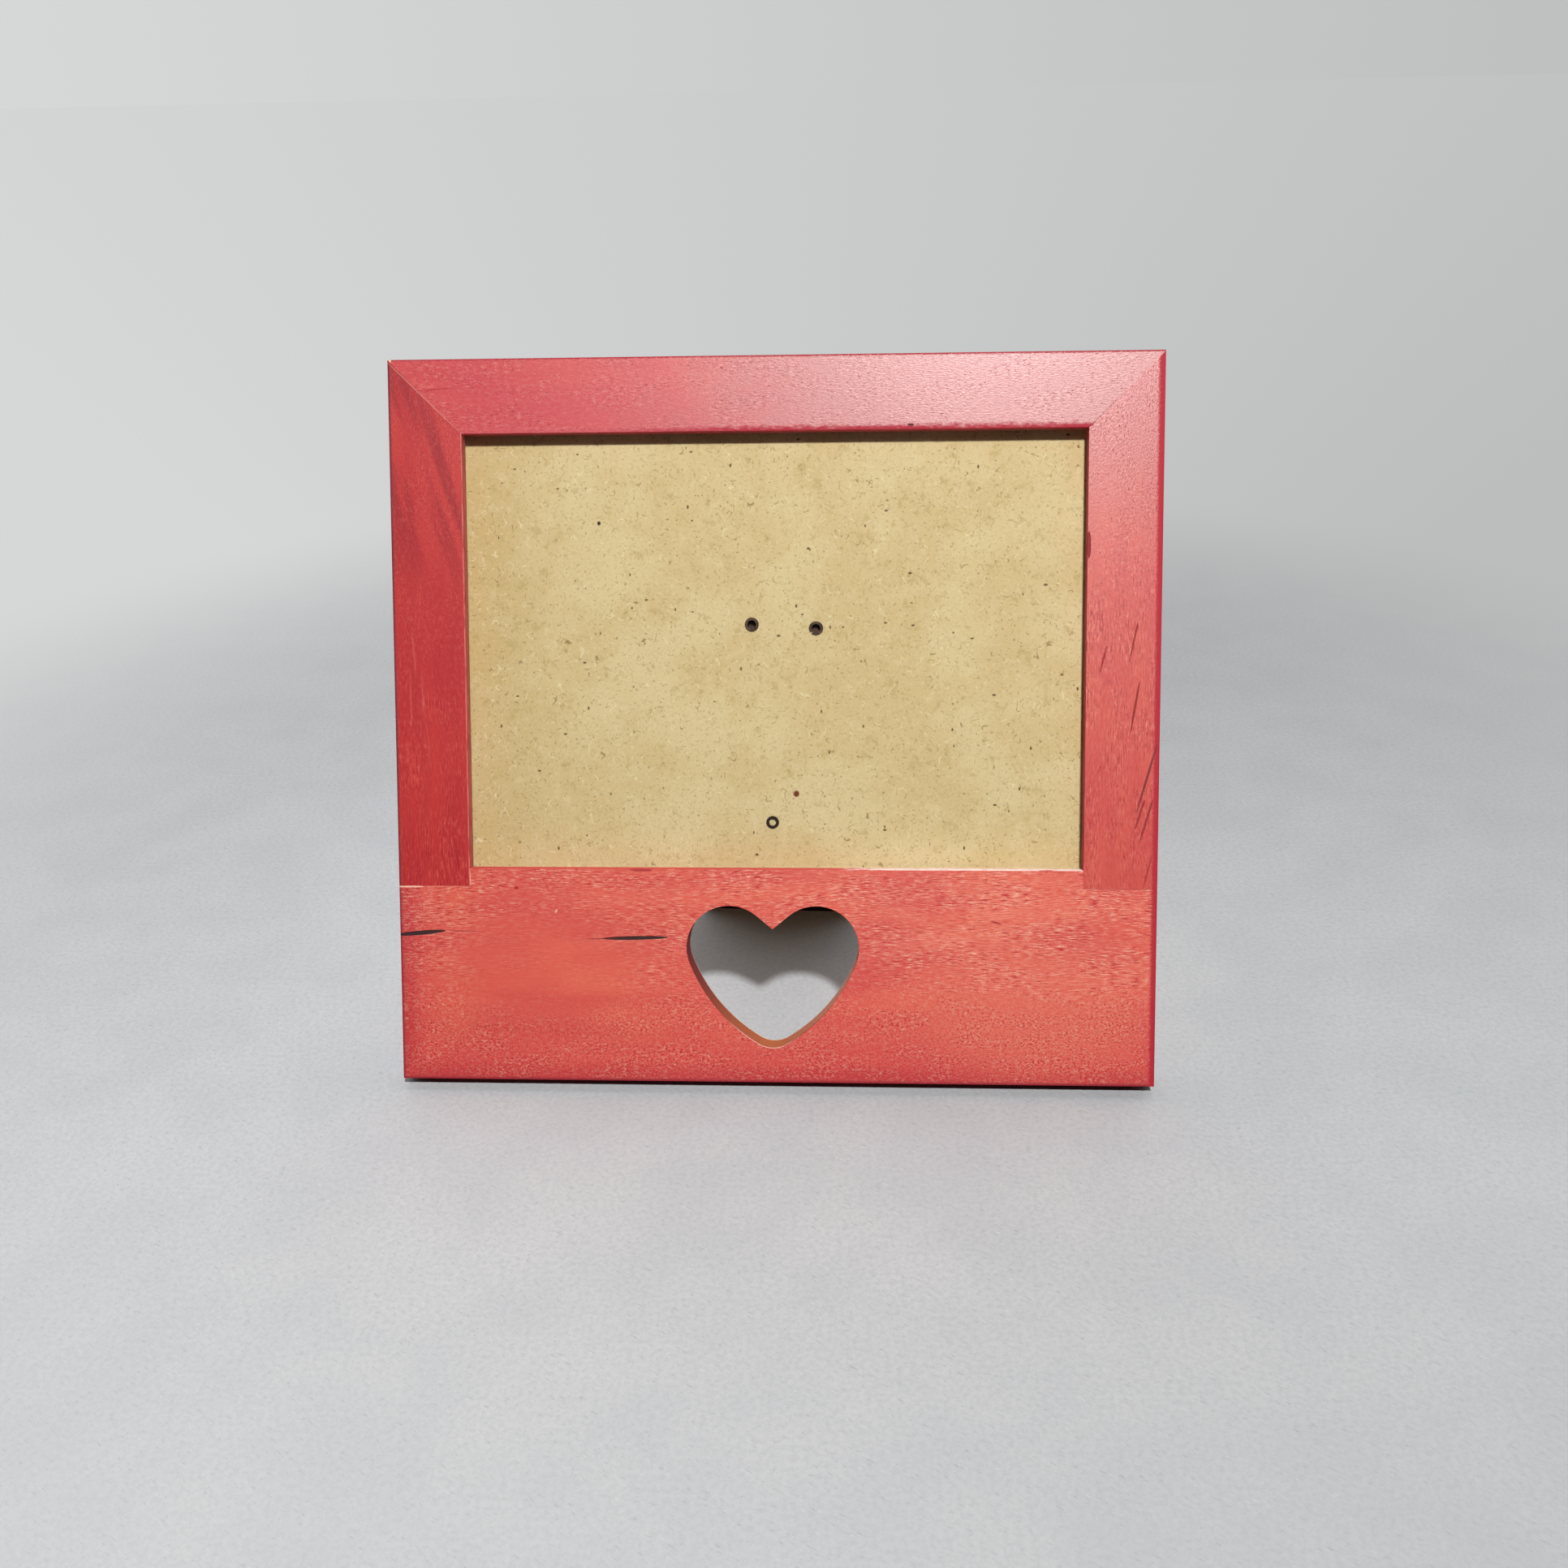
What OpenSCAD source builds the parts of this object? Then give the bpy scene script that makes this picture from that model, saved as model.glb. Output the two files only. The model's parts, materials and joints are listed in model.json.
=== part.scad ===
// Free-standing landscape picture frame in stained wood, with a heart cut through its wide
// bottom rail. It leans back on a hinged easel leg that a ribbon stops when it is open.
// Lengths are in millimetres. Face coordinates are x across the front, y back through the
// wood and z up along the face. Outlines are drawn in x and z, and slab() gives them depth.

/* [Frame] */
// Overall width of the frame
frame_w = 211.85; // [200:0.05:230]
// Overall height of the frame, along its face
frame_h = 201.25; // [195:0.05:215]
// Thickness of the wood
frame_t = 9.5; // [9.5:0.1:12]
// Width of the stiles and of the top rail
rail_w = 20.2; // [18:0.1:24]
// Height of the window's lower edge above the frame's lower edge
base_h = 60.4; // [58:0.1:66]
// Overlap of the front lip on the glass, all round
rebate_w = 5; // [4:0.1:6]
// Thickness of the front lip
lip_t = 4; // [3.5:0.1:4]

/* [Heart] */
// Sideways place of the heart's middle
heart_x = -0.3; // [-2:0.1:2]
// Radius of the two upper lobes
lobe_r = 11.9; // [11:0.1:12]
// Distance of a lobe's centre from the heart's middle
lobe_x = 12.25; // [12:0.05:13]
// Height of the lobes' centres
lobe_z = 38.2; // [37:0.1:39]
// Height of the notch between the lobes
notch_z = 43.5; // [42:0.1:44]
// Radius of the two long sides
side_r = 46.8; // [44:0.1:52]
// Radius of the rounded tip
tip_r = 7.8; // [6:0.1:9]
// Height of the lowest point of the tip
tip_z = 9.8; // [8:0.1:12]

/* [Glass and backing board] */
// Width of the glass
glass_w = 177.8; // [174:0.1:178]
// Height of the glass
glass_h = 127; // [124:0.1:128]
// Thickness of the glass
glass_t = 2; // [1.5:0.1:2]
// Thickness of the backing board
board_t = 3; // [2.5:0.1:3]
// Play of the backing board in its recess, at each side and at the top
board_play = 0.6; // [0.3:0.1:1]

/* [Easel] */
// Angle of the standing frame from upright
lean = 21.5; // [18:0.5:24]
// Angle between the backing board and the open leg
leg_open = 44; // [40:0.5:46]
// Sideways place of the hinge's middle
easel_x = 2.4; // [-4:0.1:4]
// Height of the hinge's axis along the face
pivot_z = 121.5; // [118:0.1:124]
// Angle by which the easel is fitted askew, seen from the front
easel_tilt = 3.45; // [0:0.05:5]
// Width of the leg at its top
leg_top_w = 30; // [29:0.5:36]
// Width of the leg at its foot
leg_foot_w = 54; // [44:0.5:60]
// Thickness of the leg
leg_t = 2.5; // [2:0.1:2.5]

/* [Hinge and rivets] */
// Thickness of the hinge's leaves
leaf_t = 0.8; // [0.6:0.1:0.8]
// Width of the hinge
leaf_w = 28; // [26:0.5:28]
// Height of a leaf from the hinge's axis
leaf_h = 12; // [11:0.5:14]
// Outer radius of the knuckles
knuckle_r = 2; // [1.9:0.05:2]
// Distance between the two rivets of a leaf
rivet_pitch = 18; // [16:0.5:20]
// Distance of the rivets from the hinge's axis
rivet_set = 6.5; // [6:0.1:8]
// Radius of the rivets' shanks
shank_r = 1.5; // [1.3:0.05:1.5]

/* [Stay] */
// Distance of the board's stay rivet from the hinge's axis
stay_board_d = 48.6; // [46:0.1:50]
// Distance of the leg's stay rivet from the hinge's axis
stay_leg_d = 58; // [56:0.1:62]
// Width of the ribbon
ribbon_w = 10; // [8:0.5:12]
// Thickness of the ribbon
ribbon_t = 0.4; // [0.3:0.05:0.4]

/* [Turn buttons] */
// Distance of the turn buttons from the frame's middle
button_x = 55; // [45:0.5:65]
// Distance of a button's screw from the edge of the recess
button_set = 5.2; // [5:0.1:7]
// Distance from a button's screw to the middle of its tip
button_reach = 12; // [10:0.5:14]
// Radius of a button round its screw
button_r = 4; // [3.8:0.1:4.5]
// Radius of a button's tip
button_tip_r = 2.7; // [2:0.1:3]
// Thickness of a button
button_t = 0.8; // [0.6:0.1:1]
// Radius of a screw's shank
screw_r = 1.2; // [1:0.05:1.2]
// Length of a screw under its head
screw_l = 8; // [6:0.5:8]

/* [Hidden] */

$fn = 96;
over = 1;            // how far a cutter runs past the face that it opens
fit = 0.03;          // radial play of a fixed shank in its hole
run_play = 0.07;     // radial play of a turning fit
arc_step = 5;        // angle between the points of a drawn arc
red_wood = [0.80, 0.31, 0.28];
dark_steel = [0.20, 0.17, 0.16];
pale_steel = [0.70, 0.69, 0.66];
board_tan = [0.83, 0.75, 0.55];
clear_glass = [0.80, 0.88, 0.86, 0.35];
black_paint = [0.07, 0.07, 0.07];
black_ribbon = [0.12, 0.12, 0.13];

// Levels and edges in face coordinates
half_w = frame_w / 2;
window_x = half_w - rail_w;
window_top = frame_h - rail_w;
seam_z = base_h - rebate_w;
recess_x = window_x + rebate_w;
recess_top = window_top + rebate_w;
flare_h = 0.4;
board_y = lip_t + glass_t + flare_h;
board_back = board_y + board_t;
board_x = recess_x - board_play;
board_top = recess_top - board_play;

// Tangent points of the heart's outline, for its right-hand half about x = 0
tip_centre = [0, tip_z + tip_r];
lobe_centre = [lobe_x, lobe_z];
lobe_step = lobe_centre - tip_centre;
lobe_gap = norm(lobe_step);
lobe_dir = lobe_step / lobe_gap;
side_along = ((side_r - tip_r) ^ 2 - (side_r - lobe_r) ^ 2 + lobe_gap ^ 2) / (2 * lobe_gap);
side_away = sqrt((side_r - tip_r) ^ 2 - side_along ^ 2);
side_centre = tip_centre + side_along * lobe_dir + side_away * [-lobe_dir.y, lobe_dir.x];
lobe_touch = lobe_centre + lobe_r * (lobe_centre - side_centre) / (side_r - lobe_r);
tip_touch = tip_centre + tip_r * (tip_centre - side_centre) / (side_r - tip_r);
notch_step = [0, notch_z] - lobe_centre;
notch_gap = norm(notch_step);
notch_turn = atan2(notch_step.y, notch_step.x) - acos(lobe_r / notch_gap);
lobe_end = atan2(lobe_touch.y - lobe_z, lobe_touch.x - lobe_x);
side_start = atan2(lobe_touch.y - side_centre.y, lobe_touch.x - side_centre.x);
side_end = atan2(tip_touch.y - side_centre.y, tip_touch.x - side_centre.x);

// Hinge and leg, about the hinge's axis
pin_r = knuckle_r - leaf_t - fit;
pin_head_r = 1.8;
pin_head_h = 0.6;
axis_rise = knuckle_r + 0.15;    // keeps the turning knuckle off the board
axis_y = board_back + axis_rise;
leg_in = -axis_rise + leaf_t + 0.05;    // keeps the closed leg off the board's leaf
leg_outer = leg_in + leg_t;
leaf_outer = leg_outer + leaf_t;
leg_head = -(knuckle_r + 0.5);
leg_length = 140;    // before the floor cuts it
leg_corner = 4;
leaf_corner = 2.5;
knuckle_gap = 0.3;
mid_knuckle = 9;
leaf_notch = knuckle_r + 0.4;
roll_start = 10;     // angles from the leaf's side, between which a knuckle is open
roll_end = 60;

// Rivets
head_r = 2.75;
head_h = 0.6;
head_edge_r = 2.55;
head_edge_h = 0.35;
head_crown_r = 1.85;
rivet_bore_h = 2.6;
roll_edge = 0.15;    // slope of the rolled end's outer edge
split_w = 0.45;
split_turns = [-49, -134];    // of the left and the right rivet, seen from the front
slug_set = 0.1;      // depth of the slug's face below the board's
flare_r = 2;
flare_bore_r = 1.22;
stay_flare_r = 1.85;
stay_bore_r = 0.98;
stay_tab = 5;        // ribbon beyond its rivet
stay_lead = 3.2;     // ribbon between its rivet and its bend

// Directions of the open leg, in which leg_up runs from the foot to the hinge
axis_dir = [cos(easel_tilt), -sin(easel_tilt) * sin(lean), -sin(easel_tilt) * cos(lean)];
leg_back = [
    sin(leg_open) * sin(easel_tilt),
    cos(leg_open) * cos(lean) + sin(leg_open) * cos(easel_tilt) * sin(lean),
    -cos(leg_open) * sin(lean) + sin(leg_open) * cos(easel_tilt) * cos(lean)
];
leg_up = [
    cos(leg_open) * sin(easel_tilt),
    -sin(leg_open) * cos(lean) + cos(leg_open) * cos(easel_tilt) * sin(lean),
    sin(leg_open) * sin(lean) + cos(leg_open) * cos(easel_tilt) * cos(lean)
];
// The rear corner of the foot sets the depth, and the origin is under its middle
lift = frame_t * sin(lean);
pivot_back = pivot_z * sin(lean) + axis_y * cos(lean);
pivot_up = lift + pivot_z * cos(lean) - axis_y * sin(lean);
foot_corner = -leg_foot_w / 2;
foot_run = (pivot_up + foot_corner * axis_dir.z + leg_outer * leg_back.z) / leg_up.z;
depth = pivot_back + foot_corner * axis_dir.y + leg_outer * leg_back.y - foot_run * leg_up.y;
front_y = -depth / 2;

// Turn buttons and their screws, measured from the back of the wood
button_y = frame_t + 0.05;
head_under = button_t + 0.15;
screw_head_r = 2.6;
screw_head_h = 1.5;
screw_crown = 0.7;   // slope of the head's rounded edge
screw_point = 2.2;
cross_l = 3;
cross_w = 0.7;
cross_d = 0.9;

// V-nails
nail_leg = 4.2;
nail_t = 0.5;
nail_l = 5;
nail_back = frame_t - 0.1;
mitre_nails = [5, 13];
shoulder_nails = [3, 9];

// Stands the upright frame on its lower back edge, leaning back
module leaned() translate([0, front_y, lift]) rotate([-lean, 0, 0]) children();

// Gives an outline drawn in x and z its depth from y0 to y1
module slab(y0, y1) translate([0, y1, 0]) rotate([90, 0, 0]) linear_extrude(y1 - y0) children();

// The easel's place, with its origin on the hinge's axis and x along it
module easel() leaned() translate([easel_x, axis_y, pivot_z]) rotate([0, easel_tilt, 0]) children();

// The open leg's place, turned about the hinge's axis
module swung() easel() rotate([leg_open, 0, 0]) children();

// A cylinder along y
module rod_y(r, y0, y1) translate([0, y1, 0]) rotate([90, 0, 0]) cylinder(r = r, h = y1 - y0);

// Points along an arc from angle a0 to a1, in equal steps
function arc(centre, r, a0, a1, step = arc_step) = let(steps = ceil(abs(a1 - a0) / step)) [
    for (i = [0:steps]) centre + r * [cos(a0 + (a1 - a0) * i / steps), sin(a0 + (a1 - a0) * i / steps)]
];

function but_first(list) = [for (i = [1:len(list) - 1]) list[i]];

function mirrored_back(list) = [for (i = [len(list) - 2:-1:1]) [-list[i].x, list[i].y]];

// The right half of the heart, from the notch round the lobe and down the side to the tip
module heart_outline() {
    lobe = arc(lobe_centre, lobe_r, notch_turn, lobe_end);
    side = arc(side_centre, side_r, side_start, side_end, arc_step / 3);
    tip = arc(tip_centre, tip_r, side_end, -90);
    half = concat([[0, notch_z]], lobe, but_first(side), but_first(tip));
    translate([heart_x, 0]) polygon(concat(half, mirrored_back(half)));
}

// The recess behind the lip, which holds the glass and the board
module recess() {
    slab(lip_t, frame_t + over)
        translate([-recess_x, seam_z]) square([2 * recess_x, recess_top - seam_z]);
}

// A V-nail's section with its point at the origin, opening along x
module v_section(t) {
    for (turn = [-45, 45]) rotate(turn) translate([0, -t / 2]) square([nail_leg, t]);
}

// The places of the V-nails across a mitre, on the side that side names
module at_mitre(side) {
    for (d = mitre_nails) translate([side * (half_w - d * cos(45)), frame_h - d * sin(45)])
        rotate(side < 0 ? -45 : -135) children();
}

// The places of the V-nails across a stile's foot
module at_shoulder(side) {
    for (d = shoulder_nails) translate([side * (half_w - d), seam_z])
        rotate(side < 0 ? 0 : 180) children();
}

module nail_slots() {
    slab(nail_back - nail_l, frame_t + over) for (side = [-1, 1]) {
        at_mitre(side) v_section(nail_t + fit);
        at_shoulder(side) v_section(nail_t + fit);
    }
}

// A turn button's screw along y, with its origin in the back of the wood
module screw(play) {
    rotate([90, 0, 0]) rotate_extrude() polygon([
        [0, -head_under - screw_head_h],
        [screw_head_r - screw_crown, -head_under - screw_head_h],
        [screw_head_r, -head_under - screw_head_h + screw_crown],
        [screw_head_r, -head_under],
        [screw_r + play, -head_under],
        [screw_r + play, screw_l - head_under - screw_point],
        [0, screw_l - head_under + play]
    ]);
}

// The four turn buttons' places: the screw's place and the way its tip points
module at_button(side, top) {
    translate([side * button_x, 0, top ? recess_top + button_set : seam_z - button_set])
        rotate([0, top ? 180 : 0, 0]) children();
}

module screw_holes() {
    for (side = [-1, 1]) for (top = [false, true])
        at_button(side, top) translate([0, frame_t, 0]) screw(fit);
}

module top_rail() {
    color(red_wood) leaned() difference() {
        slab(0, frame_t) polygon([
            [-half_w, frame_h], [half_w, frame_h], [window_x, window_top], [-window_x, window_top]
        ]);
        recess();
        nail_slots();
        screw_holes();
    }
}

module stile(side) {
    color(red_wood) leaned() difference() {
        slab(0, frame_t) polygon([
            [side * half_w, frame_h], [side * half_w, seam_z],
            [side * window_x, seam_z], [side * window_x, window_top]
        ]);
        recess();
        nail_slots();
    }
}

module left_stile() stile(-1);

module right_stile() stile(1);

// The wide bottom board, with a front tongue that carries the lip between the stiles
module bottom_rail() {
    color(red_wood) leaned() difference() {
        union() {
            slab(0, frame_t) translate([-half_w, 0]) square([frame_w, seam_z]);
            slab(0, lip_t) translate([-window_x, seam_z - over])
                square([2 * window_x, rebate_w + over]);
        }
        slab(-over, frame_t + over) heart_outline();
        nail_slots();
        screw_holes();
    }
}

module mitre_v_nails() {
    color(pale_steel) leaned() slab(nail_back - nail_l, nail_back)
        for (side = [-1, 1]) at_mitre(side) v_section(nail_t);
}

module shoulder_v_nails() {
    color(pale_steel) leaned() slab(nail_back - nail_l, nail_back)
        for (side = [-1, 1]) at_shoulder(side) v_section(nail_t);
}

module glass_pane() {
    color(clear_glass) leaned() slab(lip_t, lip_t + glass_t)
        translate([-glass_w / 2, seam_z]) square([glass_w, glass_h]);
}

module backing_board() {
    color(board_tan) difference() {
        leaned() slab(board_y, board_back)
            translate([-board_x, seam_z]) square([2 * board_x, board_top - seam_z]);
        easel() {
            for (side = [-1, 1]) translate([side * rivet_pitch / 2, 0, rivet_set])
                rod_y(shank_r + fit, -board_t - axis_rise - over, over);
            translate([0, 0, -stay_board_d]) rod_y(shank_r + fit, -board_t - axis_rise - over, over);
        }
    }
}

// A knuckle from x0 to x1: the end of the leaf's sheet, rolled round the pin from the leaf's side
module knuckle(x0, x1, play, side) {
    reach = 2 * knuckle_r;
    translate([x0, 0, 0]) rotate([90, 0, 90]) difference() {
        cylinder(r = knuckle_r, h = x1 - x0);
        translate([0, 0, -over]) cylinder(r = pin_r + play, h = x1 - x0 + 2 * over);
        translate([0, 0, -over]) linear_extrude(x1 - x0 + 2 * over) polygon([
            [0, 0], [side * reach * cos(roll_start), reach * sin(roll_start)],
            [side * reach * cos(roll_end), reach * sin(roll_end)]
        ]);
    }
}

// A leaf's outline, with the corners at its free edge cut off
module leaf_outline(y0, y1) {
    slab(y0, y1) polygon([
        [-leaf_w / 2, 0], [leaf_w / 2, 0], [leaf_w / 2, leaf_h - leaf_corner],
        [leaf_w / 2 - leaf_corner, leaf_h], [leaf_corner - leaf_w / 2, leaf_h],
        [-leaf_w / 2, leaf_h - leaf_corner]
    ]);
}

module hinge_board_leaf() {
    gap = mid_knuckle / 2 + knuckle_gap;
    color(dark_steel) easel() {
        difference() {
            leaf_outline(-axis_rise, -axis_rise + leaf_t);
            translate([-gap, -axis_rise - over, -over])
                cube([2 * gap, leaf_t + 2 * over, leaf_notch + over]);
            for (side = [-1, 1]) translate([side * rivet_pitch / 2, 0, rivet_set])
                rod_y(shank_r + fit, -axis_rise - over, over);
        }
        knuckle(-leaf_w / 2, -gap, fit, -1);
        knuckle(gap, leaf_w / 2, fit, -1);
    }
}

module hinge_leg_leaf() {
    color(dark_steel) swung() mirror([0, 0, 1]) {
        difference() {
            leaf_outline(leg_outer, leaf_outer);
            for (side = [-1, 1]) {
                translate([side * (leaf_w + mid_knuckle) / 2 - leaf_w / 2, leg_outer - over, -over])
                    cube([leaf_w, leaf_t + 2 * over, leaf_notch + over]);
                translate([side * rivet_pitch / 2, 0, rivet_set])
                    rod_y(shank_r + fit, leg_outer - over, leaf_outer + over);
            }
        }
        knuckle(-mid_knuckle / 2, mid_knuckle / 2, run_play, 1);
    }
}

module hinge_pin() {
    color(pale_steel) easel() translate([-leaf_w / 2 - pin_head_h, 0, 0]) rotate([0, 90, 0]) {
        cylinder(r = pin_r, h = leaf_w + 2 * pin_head_h);
        cylinder(r = pin_head_r, h = pin_head_h);
        translate([0, 0, leaf_w + pin_head_h]) cylinder(r = pin_head_r, h = pin_head_h);
    }
}

// A semi-tubular rivet along z: its head below z = 0 and its rolled end above the grip
module rivet(grip, end_r, bore_r) {
    rotate_extrude() polygon([
        [0, -head_h], [head_crown_r, -head_h], [head_edge_r, -head_edge_h], [head_r, 0],
        [shank_r, 0], [shank_r, grip], [end_r, grip], [end_r - roll_edge, grip + flare_h],
        [bore_r, grip + flare_h], [bore_r, grip + flare_h - rivet_bore_h],
        [0, grip + flare_h - rivet_bore_h]
    ]);
}

// The split that the setting tool leaves in a rolled end
module flare_split(grip, turn) {
    rotate(turn) translate([0, -split_w / 2, grip]) cube([flare_r + over, split_w, flare_h + over]);
}

module board_rivets() {
    grip = board_t + leaf_t;
    color(dark_steel) easel() for (side = [-1, 1])
        translate([side * rivet_pitch / 2, -axis_rise + leaf_t, rivet_set]) rotate([90, 0, 0])
            difference() {
                rivet(grip, flare_r, flare_bore_r);
                flare_split(grip, side < 0 ? split_turns[0] : split_turns[1]);
            }
}

module stay_board_rivet() {
    color(dark_steel) easel() translate([0, -axis_rise + ribbon_t, -stay_board_d])
        rotate([90, 0, 0]) rivet(board_t + ribbon_t, stay_flare_r, stay_bore_r);
}

// The board's own fibre, punched into the rivet's bore when it was set
module stay_rivet_slug() {
    slug_l = rivet_bore_h - flare_h - slug_set;
    color(board_tan) easel() translate([0, -axis_rise - board_t + slug_set, -stay_board_d])
        rod_y(stay_bore_r - fit, 0, slug_l);
}

module leg_rivets() {
    grip = leg_t + leaf_t;
    color(dark_steel) swung() for (side = [-1, 1])
        translate([side * rivet_pitch / 2, leaf_outer, -rivet_set]) rotate([90, 0, 0])
            rivet(grip, flare_r, flare_bore_r);
}

module stay_leg_rivet() {
    color(dark_steel) swung() translate([0, leg_in - ribbon_t, -stay_leg_d])
        rotate([-90, 0, 0]) rivet(leg_t + ribbon_t, stay_flare_r, stay_bore_r);
}

// A tapered leg whose foot is cut along the floor
module easel_leg() {
    top_half = leg_top_w / 2;
    taper = (leg_foot_w - leg_top_w) / 2 / (pivot_z + leg_head);
    end_half = top_half + taper * (leg_length + leg_head);
    floor_size = 4 * frame_w;
    color(black_paint) difference() {
        swung() difference() {
            slab(leg_in, leg_outer) polygon([
                [-top_half, leg_head - leg_corner], [-top_half + leg_corner, leg_head],
                [top_half - leg_corner, leg_head], [top_half, leg_head - leg_corner],
                [end_half, -leg_length], [-end_half, -leg_length]
            ]);
            for (side = [-1, 1]) translate([side * rivet_pitch / 2, 0, -rivet_set])
                rod_y(shank_r + fit, leg_in - over, leg_outer + over);
            translate([0, 0, -stay_leg_d]) rod_y(shank_r + fit, leg_in - over, leg_outer + over);
        }
        translate([-floor_size / 2, -floor_size / 2, -floor_size])
            cube([floor_size, floor_size, floor_size]);
    }
}

// A point in the easel's y and z, from one on the leg at distance d down it
function on_leg(y, d) = [
    y * cos(leg_open) + d * sin(leg_open), y * sin(leg_open) - d * cos(leg_open)
];

// The square direction to the left of a path's run i, and the mitre at its point i
function run_side(path, i) = let(step = path[i + 1] - path[i]) [-step.y, step.x] / norm(step);

function mitre(path, i) = i == 0 ? run_side(path, 0)
    : i == len(path) - 1 ? run_side(path, i - 1)
    : let(a = run_side(path, i - 1), b = run_side(path, i)) (a + b) / (1 + a * b);

// The outline of a strip of thickness t along a path
function strip(path, t) = concat(
    [for (i = [0:len(path) - 1]) path[i] + mitre(path, i) * t / 2],
    [for (i = [len(path) - 1:-1:0]) path[i] - mitre(path, i) * t / 2]
);

module stay_ribbon() {
    board_mid = -axis_rise + ribbon_t / 2;
    leg_mid = leg_in - ribbon_t / 2;
    path = [
        [board_mid, -stay_board_d - stay_tab],
        [board_mid, -stay_board_d + stay_lead],
        on_leg(leg_mid, stay_leg_d - stay_lead),
        on_leg(leg_mid, stay_leg_d + stay_tab)
    ];
    color(black_ribbon) difference() {
        easel() translate([-ribbon_w / 2, 0, 0]) rotate([90, 0, 90])
            linear_extrude(ribbon_w) polygon(strip(path, ribbon_t));
        easel() translate([0, 0, -stay_board_d]) rod_y(shank_r + fit, -axis_rise - over, over);
        swung() translate([0, 0, -stay_leg_d])
            rod_y(shank_r + fit, leg_in - ribbon_t - over, leg_outer);
    }
}

// The four screws, each with a cross in its head for the driver
module button_screws() {
    color(pale_steel) leaned() for (side = [-1, 1]) for (top = [false, true])
        at_button(side, top) translate([0, frame_t, 0]) difference() {
            screw(0);
            for (turn = [0, 90]) rotate([0, turn, 0])
                translate([-cross_l / 2, head_under + screw_head_h - cross_d, -cross_w / 2])
                    cube([cross_l, cross_d + over, cross_w]);
        }
}

module turn_button(side, top) {
    taper = asin((button_r - button_tip_r) / button_reach);
    head = arc([0, 0], button_r, 180 - taper, 360 + taper);
    tip = arc([0, button_reach], button_tip_r, taper, 180 - taper, 1.5 * arc_step);
    color(pale_steel) leaned() at_button(side, top) difference() {
        slab(button_y, button_y + button_t) polygon(concat(head, tip));
        rod_y(screw_r + run_play, frame_t - over, button_y + button_t + over);
    }
}

module turn_button_top_left() turn_button(-1, true);

module turn_button_top_right() turn_button(1, true);

module turn_button_bottom_left() turn_button(-1, false);

module turn_button_bottom_right() turn_button(1, false);

top_rail();
left_stile();
right_stile();
bottom_rail();
mitre_v_nails();
shoulder_v_nails();
glass_pane();
backing_board();
hinge_board_leaf();
hinge_pin();
board_rivets();
stay_board_rivet();
stay_rivet_slug();
stay_ribbon();
button_screws();
hinge_leg_leaf();
leg_rivets();
stay_leg_rivet();
easel_leg();
turn_button_top_left();
turn_button_top_right();
turn_button_bottom_left();
turn_button_bottom_right();
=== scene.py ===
"""The looks of a free-standing landscape picture frame with a heart cut through its bottom rail.

Places on the frame are given in face coordinates, in millimetres: u across the front from its
middle, v up along the face from the lower edge, and w back from the front face.
"""
import math

import bmesh
import bpy
from mathutils import Matrix, Vector
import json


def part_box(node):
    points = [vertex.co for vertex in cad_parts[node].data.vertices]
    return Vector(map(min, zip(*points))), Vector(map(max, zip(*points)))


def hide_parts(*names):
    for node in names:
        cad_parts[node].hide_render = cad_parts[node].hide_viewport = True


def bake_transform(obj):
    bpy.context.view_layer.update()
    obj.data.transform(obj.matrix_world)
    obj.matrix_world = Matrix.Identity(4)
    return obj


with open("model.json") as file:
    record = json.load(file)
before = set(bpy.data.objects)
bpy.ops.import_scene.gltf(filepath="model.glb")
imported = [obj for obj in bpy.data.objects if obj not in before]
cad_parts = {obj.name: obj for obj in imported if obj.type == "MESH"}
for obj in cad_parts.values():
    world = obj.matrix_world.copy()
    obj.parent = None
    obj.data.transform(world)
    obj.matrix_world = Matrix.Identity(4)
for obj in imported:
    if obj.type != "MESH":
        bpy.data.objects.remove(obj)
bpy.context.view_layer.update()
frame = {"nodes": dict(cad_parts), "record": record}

MM = 0.001

# The frame's place and main sizes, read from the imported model

mounts = {m["name"]: m for m in frame["record"]["mounts"]}
edge_axis = Vector(mounts["bottom_edge_face"]["axis"])
LEAN = math.atan2(-edge_axis.y, -edge_axis.z)
rail_low, rail_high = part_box("bottom_rail")
top_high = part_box("top_rail")[1]
stile_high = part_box("left_stile")[1]
FRONT_Y = rail_low.y
THICK = 2 * (mounts["bottom_edge_face"]["pos_m"][1] - FRONT_Y) / math.cos(LEAN) / MM
LIFT = THICK * math.sin(LEAN)
HALF_W = rail_high.x / MM
HEIGHT = (top_high.z / MM - LIFT) / math.cos(LEAN)
WINDOW_X = -stile_high.x / MM
RAIL_W = HALF_W - WINDOW_X
WINDOW_TOP = HEIGHT - RAIL_W
WINDOW_LOW = (rail_high.z / MM - LIFT) / math.cos(LEAN)


def place(u, v, w):
    """A point of the face coordinates in the row frame, in metres."""
    back = v * math.sin(LEAN) + w * math.cos(LEAN)
    up = LIFT + v * math.cos(LEAN) - w * math.sin(LEAN)
    return Vector((u * MM, FRONT_Y + back * MM, up * MM))


def turn_to_row(x, y, z):
    """A direction given as right, up the face and back, in the row frame."""
    return place(x, y, z) - place(0, 0, 0)


# Node tools

# The sockets of a Mix node by its type: the share, the two inputs and the output
MIX_SOCKETS = {"RGBA": (0, 6, 7, 2), "FLOAT": (0, 2, 3, 0)}
# The three axes of the face coordinates
AXES = ((1, 0, 0), (0, 1, 0), (0, 0, 1))


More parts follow.
